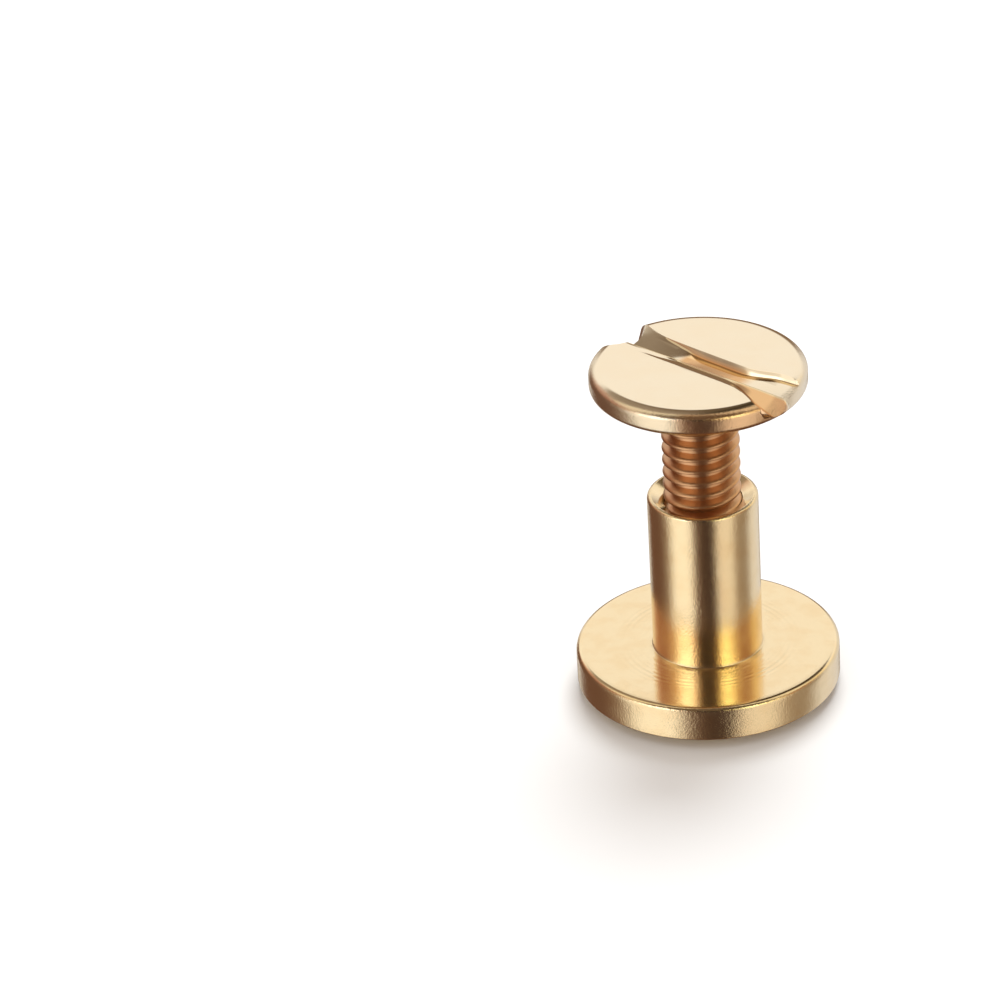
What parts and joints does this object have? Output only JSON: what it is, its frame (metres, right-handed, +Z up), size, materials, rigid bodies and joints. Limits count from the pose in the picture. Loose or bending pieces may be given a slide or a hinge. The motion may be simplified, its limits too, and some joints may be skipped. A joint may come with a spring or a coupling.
{
  "type": "binding barrel screw",
  "caption": "Two-piece binding screw: a round post with a bevelled disc head and a blind threaded bore, and a slotted disc-head screw that turns into it to clamp sheets.",
  "frame": {"origin": "centre of the barrel head's flat outer face, which the part stands on", "axes": "+Z runs up the common axis of barrel and screw, from the barrel head to the slotted screw head; the driver slot lies 41.5 degrees from +X, turned towards -Y"},
  "size_m": [0.012, 0.012, 0.0163],
  "materials": {
    "barrel_plating": "champagne gold plating, satin on the post and rim, brighter on the faces",
    "screw_plating": "champagne gold plating, polished on the head, coppery and satin on the thread"
  },
  "bodies": {
    "barrel": {"barrel": "barrel_plating"},
    "screw": {"screw": "screw_plating"}
  },
  "joints": [
    {"name": "screw_travel", "type": "slide", "parent": "barrel", "child": "screw", "axis": [0, 0, 1], "range_m": [-0.0054, 0.0018]}
  ]
}
